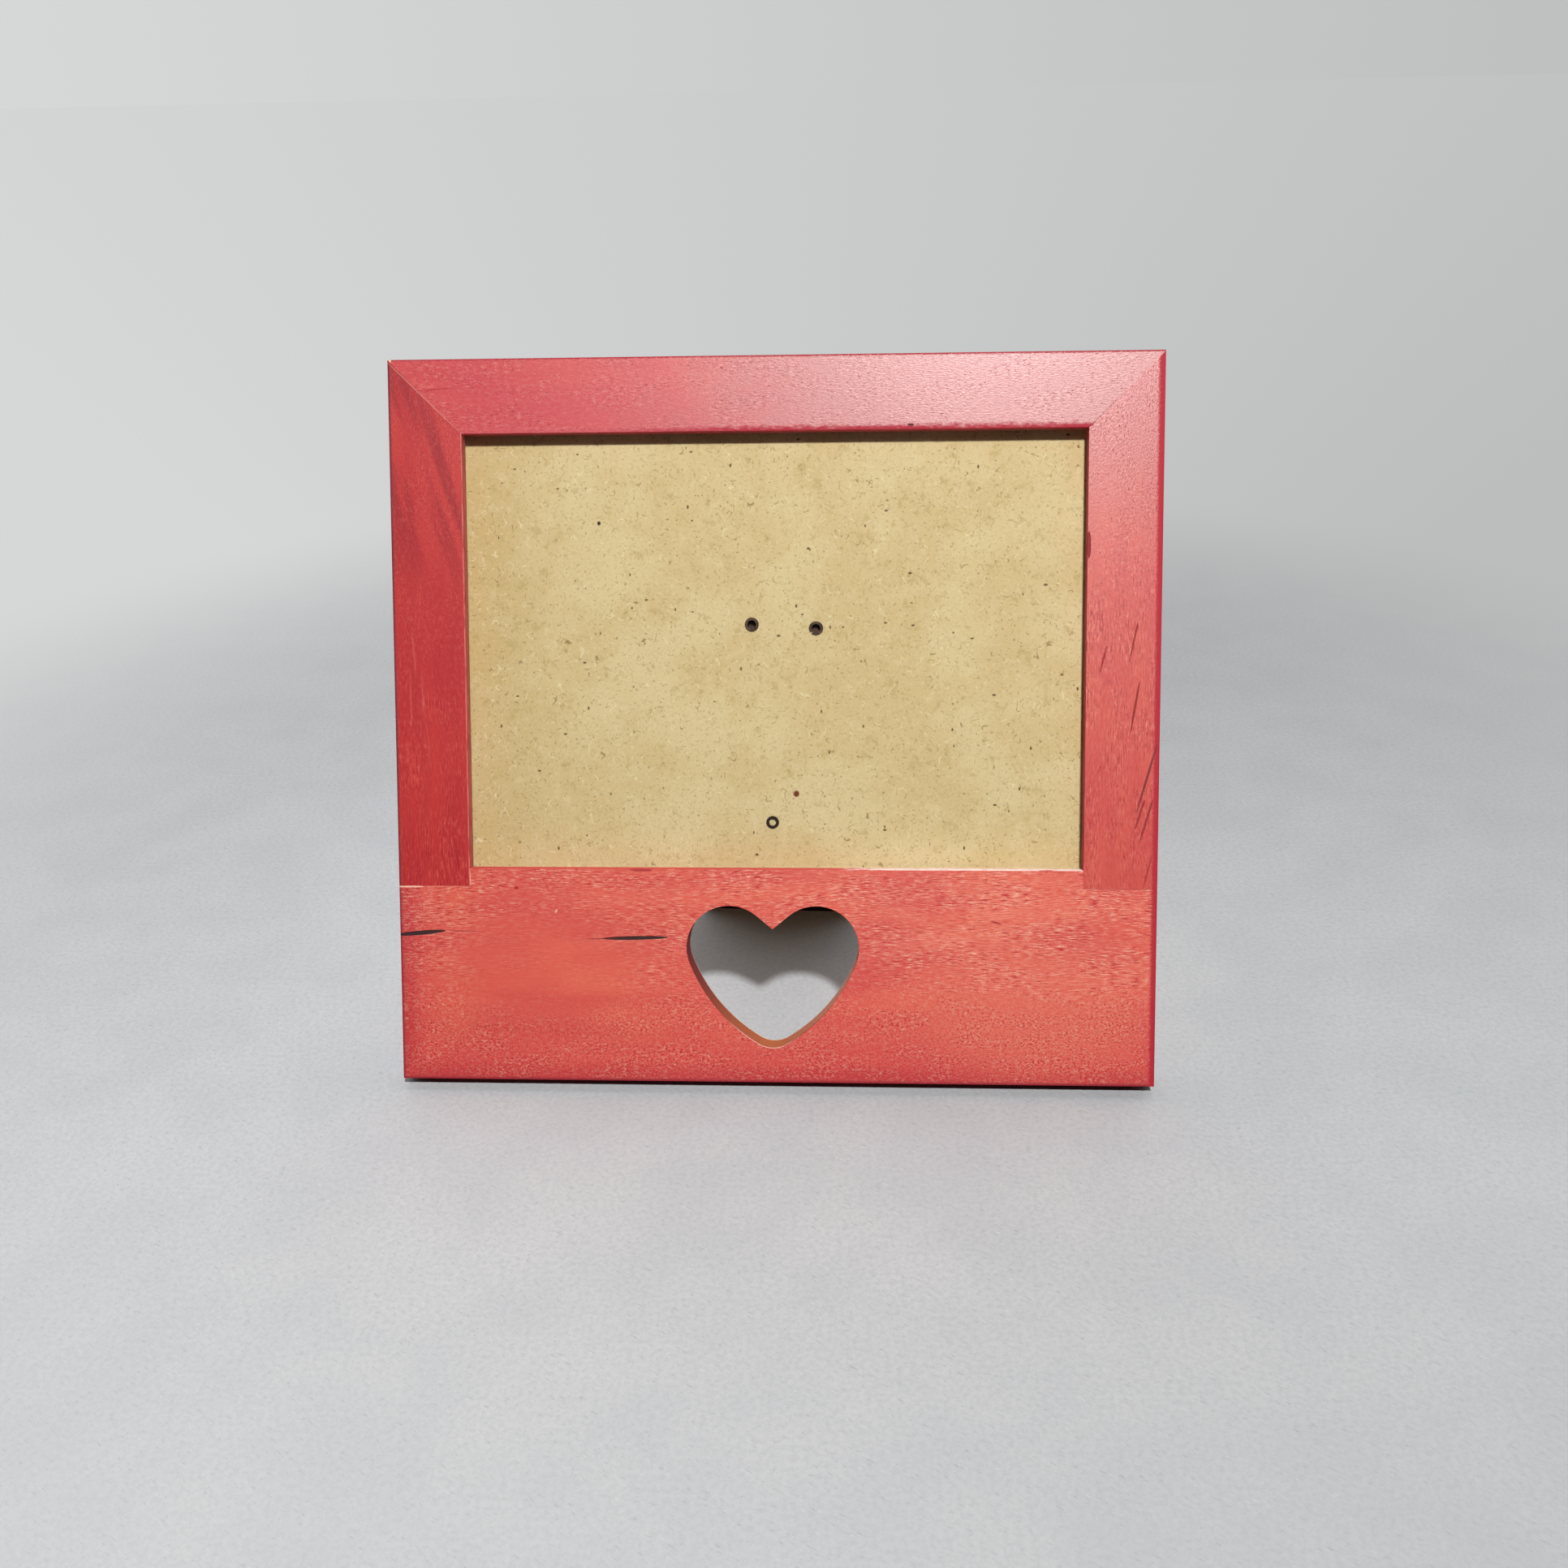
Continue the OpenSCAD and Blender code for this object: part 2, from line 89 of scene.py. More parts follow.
class Tree:
    """The nodes of one material, made and joined by short calls."""

    def __init__(self, name):
        self.mat = bpy.data.materials.new(name)
        self.mat.use_nodes = True
        self.tree = self.mat.node_tree
        self.tree.nodes.clear()

    def node(self, kind, settings=None, **inputs):
        """A new shader node. Inputs are given by name, with _ for a space."""
        made = self.tree.nodes.new("ShaderNode" + kind)
        for key, value in (settings or {}).items():
            setattr(made, key, value)
        for key, value in inputs.items():
            self.put(made.inputs[key.replace("_", " ")], value)
        return made

    def put(self, socket, value):
        """Links a socket, or sets it to a value."""
        if isinstance(value, bpy.types.NodeSocket):
            self.tree.links.new(value, socket)
        elif value is not None:
            socket.default_value = value

    def math(self, operation, a, b=0.0, c=0.0, clamp=False):
        made = self.node("Math", {"operation": operation, "use_clamp": clamp})
        for socket, value in zip(made.inputs, (a, b, c)):
            self.put(socket, value)
        return made.outputs[0]

    def vmath(self, operation, a, b=(0, 0, 0), scale=1.0):
        made = self.node("VectorMath", {"operation": operation})
        for socket, value in zip(made.inputs, (a, b, None, scale)):
            self.put(socket, value)
        return made.outputs[1 if operation in ("DOT_PRODUCT", "LENGTH", "DISTANCE") else 0]

    def ramp(self, x, low, high, to_low=0.0, to_high=1.0, smooth=True):
        """Takes x from low to high over to to_low to to_high, and stays there beyond them."""
        made = self.node("MapRange", {"interpolation_type": "SMOOTHSTEP" if smooth else "LINEAR"})
        for socket, value in zip(made.inputs, (x, low, high, to_low, to_high)):
            self.put(socket, value)
        return made.outputs[0]

    def mix(self, share, a, b, data_type="RGBA"):
        """A blend of two colours, or of two numbers where data_type is FLOAT."""
        made = self.node("Mix", {"data_type": data_type})
        *places, out = MIX_SOCKETS[data_type]
        for at, value in zip(places, (share, a, b)):
            self.put(made.inputs[at], value)
        return made.outputs[out]

    def join(self, x, y, z):
        return self.node("CombineXYZ", X=x, Y=y, Z=z).outputs[0]

    def noise(self, vector, scale=1.0, detail=2.0, rough=0.5, seed=0.0):
        made = self.node("TexNoise", {"noise_dimensions": "4D"}, Vector=vector, W=seed,
                         Scale=scale, Detail=detail, Roughness=rough)
        return made.outputs[0]

    def face_point(self):
        """The surface's own place in face coordinates, in millimetres: u, v and w."""
        at = self.node("TexCoord").outputs["Object"]
        from_corner = self.vmath("SUBTRACT", at, tuple(place(0, 0, 0)))
        return [self.vmath("DOT_PRODUCT", from_corner, tuple(turn_to_row(*axis) / MM / MM))
                for axis in AXES]

    def facing(self):
        """How far the surface faces right, up the face, and back, from -1 to 1."""
        normal = self.node("TexCoord").outputs["Normal"]
        return [self.vmath("DOT_PRODUCT", normal, tuple(turn_to_row(*axis) / MM))
                for axis in AXES]

    def finish(self, colour, rough, height, depth, **settings):
        """Closes the material. Depth is that of the bump, in millimetres."""
        surface = self.node("BsdfPrincipled")
        self.put(surface.inputs["Base Color"], colour)
        self.put(surface.inputs["Roughness"], rough)
        for key, value in settings.items():
            self.put(surface.inputs[key.replace("_", " ")], value)
        bump = self.node("Bump", Strength=1.0, Distance=depth * MM, Height=height)
        self.put(surface.inputs["Normal"], bump.outputs[0])
        return self.close(surface)

    def shaders(self, share, first, second):
        """Closes the material with a mix of two shaders."""
        both = self.node("MixShader")
        for socket, value in zip(both.inputs, (share, first.outputs[0], second.outputs[0])):
            self.put(socket, value)
        return self.close(both)

    def close(self, shader):
        out = self.node("OutputMaterial")
        self.put(out.inputs[0], shader.outputs[0])
        return self.mat


def srgb(r, g, b):
    """A colour written in 0 to 255 as it looks on a screen, as linear light."""
    def linear(c):
        c /= 255
        return c / 12.92 if c <= 0.04045 else ((c + 0.055) / 1.055) ** 2.4
    return (linear(r), linear(g), linear(b), 1.0)


# Stained wood

CRIMSON = srgb(172, 0, 34)
DEEP_RED = srgb(168, 16, 28)
DASH_RED = srgb(140, 0, 16)
PALE_WOOD = srgb(250, 200, 172)
HEART_WOOD = srgb(198, 104, 52)
TEAR = srgb(24, 0, 0)
FADED_TEAR = srgb(132, 8, 14)
SIDE_DARK, SIDE_LIGHT = srgb(148, 0, 26), srgb(196, 24, 46)
BAND_RED = srgb(178, 0, 36)

# How far the grain wanders across its own run, in millimetres
GRAIN_WANDER = 7.0
# Roughness in the hollows and on the tops of the grain, and what a tear or gathered stain adds
WOOD_ROUGH = (0.46, 0.36)
MATT_ROUGH = 0.42
# The bump's depth in millimetres, and how much deeper a tear is than a fleck
WOOD_BUMP = 0.05
TEAR_DEPTH = 4.0


def segment(tree, u, v, ends, width, soft=0.12):
    """A mask for a slim mark between two ends, in face millimetres, tapered to both."""
    (u0, v0), (u1, v1) = ends
    long_u, long_v = u1 - u0, v1 - v0
    squared = long_u ** 2 + long_v ** 2
    at = tree.join(tree.math("SUBTRACT", u, u0), tree.math("SUBTRACT", v, v0), 0.0)
    dot = tree.vmath("DOT_PRODUCT", at, (long_u, long_v, 0))
    along = tree.math("DIVIDE", dot, squared, clamp=True)
    foot = tree.vmath("SCALE", (long_u, long_v, 0), scale=along)
    away = tree.vmath("LENGTH", tree.vmath("SUBTRACT", at, foot))
    swell = tree.math("MULTIPLY", tree.math("MULTIPLY", along, tree.math("SUBTRACT", 1.0, along)), 4.0)
    reach = tree.math("MULTIPLY", tree.math("SQRT", swell), width)
    return tree.ramp(tree.math("SUBTRACT", reach, away), -soft, soft)


def patch(tree, u, v, centre, radii, inner=0.3):
    """A soft oval mask, 1 inside the share inner of its radii and 0 beyond them."""
    at = tree.join(tree.math("DIVIDE", tree.math("SUBTRACT", u, centre[0]), radii[0]),
                   tree.math("DIVIDE", tree.math("SUBTRACT", v, centre[1]), radii[1]), 0.0)
    return tree.ramp(tree.vmath("LENGTH", at), 1.0, inner)


class Wood(Tree):
    """Fine-grained wood under a thin red stain, built up in layers from its ground colour."""

    def __init__(self, name, grain, seed, fleck_mm=3.0):
        super().__init__(name)
        self.seed = seed
        self.fleck_mm = fleck_mm
        self.tears, self.matt = 0.0, 0.0
        self.u, self.v, self.w = self.face_point()
        self.right, self.up, self.back = self.facing()
        self.along, self.across = (self.u, self.v) if grain == "u" else (self.v, self.u)
        slow = self.join(self.math("MULTIPLY", self.along, 0.022),
                         self.math("MULTIPLY", self.across, 0.045), self.w)
        wander = self.noise(slow, 1.0, 1.0, seed=seed)
        self.bent = self.math("MULTIPLY_ADD", wander, GRAIN_WANDER, self.across)
        self.grit = self.stretched(0.62, 0.42, 2.0, 0.65, 9)
        self.off_face = self.ramp(self.math("ABSOLUTE", self.back), 0.93, 0.55)
        self.front = self.ramp(self.w, 1.0, 0.5)
        self.inward = self.math("MINIMUM", self.math("SUBTRACT", HALF_W, self.math("ABSOLUTE", self.u)),
                                self.math("MINIMUM", self.v, self.math("SUBTRACT", HEIGHT, self.v)))

    def stretched(self, along_mm, across_mm, detail=2.0, rough=0.5, shift=0.0):
        """Noise drawn out along the grain, with features of about the given sizes."""
        at = self.join(self.math("DIVIDE", self.along, along_mm),
                       self.math("DIVIDE", self.bent, across_mm), self.math("DIVIDE", self.w, across_mm))
        return self.noise(at, 1.0, detail, rough, self.seed + shift)

    def share(self, *factors):
        """The product of some masks and numbers."""
        out = factors[0]
        for factor in factors[1:]:
            out = self.math("MULTIPLY", out, factor)
        return out

    def stain(self, mask, shade):
        """Lays a shade over the colour where the mask is."""
        self.colour = self.mix(mask, self.colour, shade)

    def ground(self, warm, cool, deep, figure_mm=3.5):
        """The ground: two tones in broad clouds, under a faint figure along the grain."""
        self.colour = self.mix(self.ramp(self.stretched(48, 20, 2.0, shift=1), 0.36, 0.64), warm, cool)
        self.stain(self.ramp(self.stretched(60, figure_mm, 2.0, shift=2), 0.40, 0.72, 0.0, 0.35), deep)

    def ragged(self, x, reach):
        """A distance with a fine uneven edge, that reaches to both sides by half of reach."""
        return self.math("MULTIPLY_ADD", self.math("SUBTRACT", self.grit, 0.5), reach, x)

    def flecks(self, streaky, strength, pale=PALE_WOOD, dashes=0.0, deep=DEEP_RED, across_mm=0.36):
        """Crimson and pale flecks, drawn out along the grain where streaky and round elsewhere.

        Dashes is the strength of short dark dashes, and across_mm the width of drawn-out flecks.
        """
        line = self.stretched(self.fleck_mm, across_mm, 2.0, 0.6, 3)
        dot = self.stretched(0.70, 0.46, 2.0, 0.65, 4)
        self.fleck = self.mix(streaky, dot, line, "FLOAT")
        # The flecks lie in patches, with calmer wood between them
        patchy = self.ramp(self.stretched(17, 6, 2.0, 0.5, 14), 0.40, 0.58, 0.4, 1.0)
        strength = self.share(patchy, strength)
        lump = self.stretched(1.6, 0.8, 3.0, 0.65, 5)
        self.stain(self.share(self.ramp(lump, 0.46, 0.66, 0.0, 0.24), strength), pale)
        self.stain(self.share(self.ramp(self.fleck, 0.49, 0.37, 0.0, 0.85), strength), deep)
        light = self.math("MULTIPLY_ADD", streaky, 0.35, 0.25)
        self.stain(self.share(self.ramp(self.fleck, 0.55, 0.68), light, strength), pale)
        if dashes:
            dash = self.ramp(self.stretched(1.3, 0.24, 1.0, 0.5, 6), 0.61, 0.69, 0.0, dashes)
            self.rim(self.share(dash, patchy), DASH_RED)

    def rim(self, mask, shade=CRIMSON):
        """Gathered stain, which is also duller than the face."""
        self.stain(mask, shade)
        self.matt = self.math("MAXIMUM", self.matt, mask)

    def rims(self, band=1.1, shade=CRIMSON):
        """Stain that gathers along the outer edges and on the sides."""
        self.rim(self.ramp(self.ragged(self.inward, 1.2), band, 0.1, 0.0, 0.95), shade)
        grain = self.ramp(self.stretched(14, 1.1, 3.0, 0.6, 19), 0.36, 0.66)
        self.rim(self.math("MULTIPLY", self.off_face, 0.9), self.mix(grain, SIDE_DARK, SIDE_LIGHT))

    def right_band(self):
        """The right edge of the frame took much more stain than the face beside it."""
        band = self.ramp(self.ragged(self.u, 1.6), HALF_W - 2.2, HALF_W - 1.1)
        self.rim(self.share(band, self.front, 0.92), BAND_RED)

    def marks(self, marks):
        """Slim marks on the front face: tears in the grain, pale seams, which are partly painted
        highlight, and drops of stain.

        Each has its two ends in face millimetres, its half width there, its shade and its strength.
        """
        for ends, width, shade, strength in marks:
            mask = self.share(segment(self, self.u, self.v, ends, width), self.front, strength)
            self.stain(mask, shade)
            if shade in (TEAR, FADED_TEAR):
                self.tears = self.math("MAXIMUM", self.tears, mask)

    def done(self, gloss=0.0):
        """Closes the material. Gloss takes a little off its roughness."""
        hollow, top = WOOD_ROUGH
        rough = self.ramp(self.fleck, 0.25, 0.75, hollow - gloss, top - gloss, smooth=False)
        rough = self.math("MULTIPLY_ADD", self.math("MAXIMUM", self.tears, self.matt), MATT_ROUGH, rough)
        height = self.math("MULTIPLY_ADD", self.grit, 0.35, self.fleck)
        height = self.math("MULTIPLY_ADD", self.tears, -TEAR_DEPTH, height)
        return self.finish(self.colour, rough, height, WOOD_BUMP, Specular_IOR_Level=0.5)


def top_wood():
    """The top rail: crimson at the left, a thin pink at the right that is partly painted sheen, and a
    dark ragged lower arris.
    """
    t = Wood("stained_wood_top", "u", 11.0, 1.5)
    t.ground(srgb(212, 80, 76), srgb(204, 66, 72), srgb(192, 50, 64))
    # The stain is thinner and cooler towards the right, and its paler, greyer pink there is partly
    # painted sheen
    cloudy = t.noise(t.join(t.u, t.v, 0.0), 0.11, 3.0, 0.6, 77.0)
    t.stain(t.ramp(t.math("MULTIPLY_ADD", cloudy, 60.0, t.u), -20, 55, 0.0, 0.75), srgb(178, 106, 102))
    t.flecks(0.6, t.ramp(t.u, -100, -20, 0.9, 1.15), srgb(246, 170, 158), 0.8)
    above = t.math("SUBTRACT", t.v, WINDOW_TOP)
    bumpy = t.math("SUBTRACT", t.stretched(2.2, 0.9, 3.0, 0.7, 21), 0.5)
    arris = t.ramp(t.math("MULTIPLY_ADD", bumpy, 4.0, above), 1.9, 0.1)
    t.rim(t.share(arris, t.ramp(t.u, -60, 0, 0.35, 0.97), t.front), srgb(172, 0, 44))
    t.rims(0.7)
    t.marks([
        (((36.9, 182.3), (38.6, 182.1)), 0.22, TEAR, 0.9),
        (((29.0, 183.9), (37.0, 182.6)), 0.16, DEEP_RED, 0.8),
        (((-104.9, 201.2), (-106.0, 200.6)), 0.5, PALE_WOOD, 0.8),
        (((-97.0, 192.8), (-88.0, 193.4)), 0.20, DEEP_RED, 0.7),
    ])
    return t.done(0.04)


def left_wood():
    """The left stile, which took the stain most evenly."""
    t = Wood("stained_wood_left", "v", 23.0)
    t.ground(srgb(196, 48, 44), srgb(186, 37, 42), srgb(170, 28, 38))
    # A darker figure runs down aslant near the top, and pale streaks lie below it
    slant = t.join(t.math("MULTIPLY_ADD", t.v, 0.30, t.u), t.math("MULTIPLY", t.v, 0.12), 0.0)
    figure = t.noise(slant, 0.22, 2.0, 0.5, 71.0)
    upper = t.ramp(t.v, 130, 165)
    t.stain(t.share(t.ramp(figure, 0.44, 0.60, 0.0, 0.8), upper), srgb(150, 14, 30))
    t.stain(t.share(t.ramp(figure, 0.48, 0.36, 0.0, 0.3), upper), srgb(200, 58, 56))
    pale = t.share(t.ramp(t.stretched(16, 1.1, 3.0, 0.65, 7), 0.50, 0.72),
                   patch(t, t.u, t.v, (-99.5, 108), (7, 52), 0.2))
    t.stain(t.math("MULTIPLY", pale, 0.45), srgb(226, 112, 96))
    t.flecks(t.ramp(t.v, 150, 90), t.ramp(t.v, 150, 80, 0.95, 0.9), srgb(228, 112, 98))
    low = t.ramp(t.stretched(12, 0.45, 2.0, 0.6, 8), 0.50, 0.66)
    t.stain(t.share(low, t.ramp(t.v, 90, 60), 0.6), srgb(152, 16, 26))
    t.rims(1.2, srgb(118, 0, 24))
    # Painted highlight: a paler pink along the window's arris and in its reveal, which face the key
    # light, palest at the front
    inner = t.share(t.ramp(t.u, -WINDOW_X - 0.32, -WINDOW_X - 0.15),
                    t.ramp(t.v, WINDOW_TOP + 1, WINDOW_TOP))
    painted_reveal_highlight = t.share(inner, t.ramp(t.stretched(7, 1.0, 2.0, 0.6, 16), 0.38, 0.56, 0.25, 0.9))
    t.stain(painted_reveal_highlight, t.mix(t.ramp(t.w, 0.8, 0.3), srgb(196, 92, 74), srgb(226, 118, 108)))
    # The pale line along the mitre is partly worn stain at the joint and partly painted highlight
    t.marks([(((-106.2, 200.9), (-85.9, 181.2)), 0.16, srgb(226, 140, 126), 0.6)])
    return t.done(0.02)


def right_wood():
    """The right stile: paler towards the top, where its greyer tone is partly painted sheen, with a faint
    arch there and splits along its side.
    """
    t = Wood("stained_wood_right", "v", 37.0)
    t.ground(srgb(214, 88, 72), srgb(206, 74, 68), srgb(194, 56, 60))
    arch = t.join(t.u, t.math("MULTIPLY", t.v, 0.5), 0.0)
    rings = t.node("TexWave", {"wave_type": "RINGS", "rings_direction": "SPHERICAL"}, Scale=0.13,
                   Distortion=3.0, Detail=2.0, Detail_Scale=0.6,
                   Vector=t.vmath("SUBTRACT", arch, (93.0, 78.0, 0.0))).outputs[1]
    arched = patch(t, t.u, t.v, (94, 172), (12, 20), 0.3)
    t.stain(t.share(t.ramp(rings, 0.3, 0.8), arched, 0.12), srgb(238, 140, 122))
    # A greyer tone towards the top: partly faded stain, partly painted sheen
    t.stain(t.ramp(t.v, 140, 185, 0.0, 0.7), srgb(180, 82, 80))
    t.flecks(t.ramp(t.v, 170, 120), t.ramp(t.v, 60, 130, 0.6, 1.2), srgb(242, 158, 142), 0.8)
    t.rims(1.2)
    t.right_band()
    t.marks([
        (((99.5, 128.3), (97.7, 119.3)), 0.20, FADED_TEAR, 0.75),
        (((91.2, 122.2), (89.6, 115.2)), 0.14, FADED_TEAR, 0.65),
        (((100.2, 112.2), (98.0, 98.8)), 0.22, FADED_TEAR, 0.85),
        (((105.3, 95.6), (100.0, 76.8)), 0.30, srgb(112, 4, 10), 0.9),
        (((102.1, 80.0), (99.6, 72.0)), 0.22, FADED_TEAR, 0.75),
        (((104.3, 80.0), (101.0, 68.6)), 0.24, FADED_TEAR, 0.8),
        (((104.3, 64.8), (102.0, 55.5)), 0.20, srgb(150, 16, 22), 0.8),
        (((86.05, 153.0), (86.05, 146.0)), 0.50, FADED_TEAR, 0.9),
        (((85.8, 181.2), (87.2, 182.6)), 0.20, TEAR, 0.8),
        (((85.9, 181.4), (93.5, 188.9)), 0.17, srgb(70, 14, 18), 0.75),
        # The pale line along the mitre is partly worn stain at the joint and partly painted highlight
        (((92.0, 187.4), (105.9, 201.1)), 0.15, srgb(236, 176, 170), 0.8),
    ])
    return t.done(0.04)


def bottom_wood():
    """The bottom rail: streaky above, mottled below, and pale inside the heart."""
    t = Wood("stained_wood_bottom", "u", 5.0)
    t.ground(srgb(231, 103, 80), srgb(219, 84, 73), srgb(210, 66, 60), 5.0)
    calm = patch(t, t.u, t.v, (-64, 33), (42, 26), 0.35)
    strength = t.math("MULTIPLY_ADD", calm, -1.0, 1.3)
    # Crimson mottling near the lower and the left edge and round the heart
    near_heart = patch(t, t.u, t.v, (-2, 24), (46, 34), 0.5)
    edge = t.math("MAXIMUM", t.ramp(t.v, 20, 2), t.ramp(t.u, -88, -104))
    tinted = t.math("MAXIMUM", t.math("MULTIPLY", near_heart, 0.6), edge)
    t.stain(t.math("MULTIPLY", tinted, 0.40), srgb(222, 64, 70))
    border = t.math("MAXIMUM", t.ramp(t.v, 7, 0.5, 0.0, 0.6), t.ramp(t.u, -98, -105.5, 0.0, 0.6))
    t.stain(border, srgb(184, 24, 42))
    worn = t.share(t.ramp(t.stretched(26, 7, 2.0, 0.5, 12), 0.44, 0.62),
                   patch(t, t.u, t.v, (62, 44), (52, 18), 0.3))
    t.stain(t.math("MULTIPLY", worn, 0.45), srgb(240, 132, 106))
    t.stain(patch(t, t.u, t.v, (72, 22), (46, 26), 0.3), srgb(229, 105, 85))
    t.flecks(t.ramp(t.v, 16, 34), strength, deep=srgb(188, 32, 36), across_mm=0.27)
    streaks = t.share(t.ramp(t.stretched(5.0, 0.32, 2.0, 0.55, 17), 0.57, 0.66), t.ramp(t.v, 18, 34),
                      strength, t.ramp(t.stretched(24, 9, 2.0, 0.5, 18), 0.42, 0.58))
    t.stain(t.math("MULTIPLY", streaks, 0.6), srgb(250, 168, 144))
    mottled = t.math("MAXIMUM", tinted, t.ramp(t.v, 30, 14, 0.0, 0.6))
    t.rim(t.share(t.ramp(t.grit, 0.52, 0.61), mottled, 0.7), srgb(168, 8, 34))
    t.rims(1.1, srgb(146, 0, 26))
    t.right_band()
    # The heart's cut wall took little stain, least of all where it faces up and at its rear edge. Its
    # tone by the side it faces is painted light and shade: pale pink where it faces left, away from the
    # key, and dark red where it faces right, towards the key
    near = t.share(t.ramp(t.math("ABSOLUTE", t.u), 27, 26), t.ramp(t.v, 53, 52), t.ramp(t.v, 7, 8))
    heart_wall_stain_and_painted_light = t.mix(t.ramp(t.right, -0.6, 0.5), srgb(255, 176, 150), srgb(146, 44, 42))
    heart_wall_stain_and_painted_light = t.mix(t.ramp(t.ragged(t.up, 0.6), 0.35, 0.95), heart_wall_stain_and_painted_light, HEART_WOOD)
    heart_wall_stain_and_painted_light = t.mix(t.ramp(t.w, THICK - 0.75, THICK - 0.4, 0.0, 0.85), heart_wall_stain_and_painted_light, srgb(255, 222, 190))
    t.stain(t.math("MULTIPLY", t.off_face, near), heart_wall_stain_and_painted_light)
    arris = t.share(t.ramp(t.math("ABSOLUTE", t.back), 0.985, 0.90), near, t.ramp(t.w, 0.5, 0.3))
    tip = t.share(t.ramp(t.v, 19, 13), t.ramp(t.u, 8, 2))
    t.rim(t.share(arris, 0.95), t.mix(tip, srgb(150, 0, 24), srgb(255, 206, 190)))
    # The window's lower edge is rubbed down to bare wood on its right half
    ledge = t.share(t.ramp(t.up, 0.35, 0.75), t.ramp(t.v, WINDOW_LOW - 1.0, WINDOW_LOW - 0.5))
    uneven = t.math("SUBTRACT", t.stretched(4, 1.0, 2.0, 0.6, 15), 0.5)
    chipped = t.math("MULTIPLY_ADD", uneven, 60.0, t.u)
    bare = t.share(t.ramp(chipped, 23, 26), t.ramp(t.stretched(5, 0.8, 2.0, 0.6, 16), 0.36, 0.42))
    t.stain(ledge, t.mix(bare, srgb(206, 62, 56), srgb(252, 226, 220)))
    t.marks([
        (((-107.0, 41.3), (-93.0, 42.6)), 0.60, TEAR, 0.97),
        (((-92.0, 42.5), (-84.0, 42.4)), 0.14, FADED_TEAR, 0.5),
        (((-48.2, 40.6), (-29.8, 41.1)), 0.52, TEAR, 0.97),
        (((-53.0, 40.4), (-44.0, 40.7)), 0.12, FADED_TEAR, 0.7),
        (((-73.2, 54.9), (-71.9, 55.0)), 0.50, srgb(176, 20, 36), 0.9),
        (((-40.5, 60.2), (-34.0, 60.2)), 0.45, srgb(170, 22, 34), 0.85),
        (((-61.6, 47.9), (-61.0, 48.9)), 0.20, PALE_WOOD, 0.8),
        (((60.5, 46.2), (63.4, 45.4)), 0.26, srgb(150, 20, 22), 0.85),
        (((-86.2, 15.2), (-79.0, 15.4)), 0.16, DEEP_RED, 0.5),
        (((73.6, 60.4), (77.2, 60.4)), 0.30, srgb(196, 60, 50), 0.9),
        # The pale lines along the stiles' shoulders are partly worn stain at the joints and partly
        # painted highlight
        (((-106.5, 55.15), (-98.9, 55.2)), 0.26, srgb(255, 196, 170), 0.95),
        (((-99.6, 55.25), (-86.0, 55.35)), 0.13, srgb(240, 150, 124), 0.6),
        (((-85.75, 60.4), (-85.75, 55.4)), 0.22, srgb(255, 190, 165), 0.8),
        (((86.0, 55.3), (105.9, 55.3)), 0.14, srgb(186, 48, 48), 0.5),
    ])
    return t.done()


# Short fibres in the board: noise scale, seed, how rare, shade, strength and width in the noise
FIBRES = (
    (0.34, 31.0, 0.67, srgb(128, 96, 44), 0.65, 0.015),
    (0.28, 47.0, 0.64, srgb(246, 232, 190), 0.65, 0.018),
    (0.42, 59.0, 0.67, srgb(140, 110, 54), 0.60, 0.016),
    (0.80, 83.0, 0.60, srgb(246, 232, 190), 0.45, 0.034),
    (0.95, 95.0, 0.61, srgb(150, 118, 60), 0.60, 0.034),
)
# Specks in the board: pitch in mm, seed, share of cells, radius in mm, shade and the cell's stretch
SPECKS = (
    (3.4, 1.5, 0.40, 0.34, srgb(96, 66, 26), (1.8, 1.0)),
    (3.1, 3.5, 0.30, 0.34, srgb(96, 66, 26), (1.0, 1.8)),
    (1.7, 7.5, 0.40, 0.22, srgb(124, 92, 42), (1.0, 1.0)),
    (8.0, 4.5, 0.45, 0.46, srgb(92, 58, 22), (1.0, 1.0)),
)
# Two larger specks: their place on the face, radii and shade
SPOTS = (
    ((-48.9, 156.9), (0.6, 0.7), srgb(60, 34, 12)),
    ((6.2, 81.1), (1.0, 1.1), srgb(120, 52, 18)),
)


def speck_mask(t, u, v, pitch, seed, share_of_cells, size, stretch):
    """Crisp specks of random size, in some of the cells of an irregular grid."""
    at = t.join(t.math("DIVIDE", u, pitch * stretch[0]), t.math("DIVIDE", v, pitch * stretch[1]), seed)
    cell = t.node("TexVoronoi", {"voronoi_dimensions": "3D", "feature": "F1"}, Vector=at, Scale=1.0)
    pick = t.node("SeparateColor", Color=cell.outputs["Color"])
    chosen = t.ramp(pick.outputs[0], share_of_cells, share_of_cells * 0.96)
    radius = t.math("MULTIPLY", t.ramp(pick.outputs[1], 0, 1, 0.4, 1.0), size / pitch)
    inside = t.math("SUBTRACT", radius, cell.outputs["Distance"])
    return t.math("MULTIPLY", chosen, t.ramp(inside, -0.05 / pitch, 0.10 / pitch))


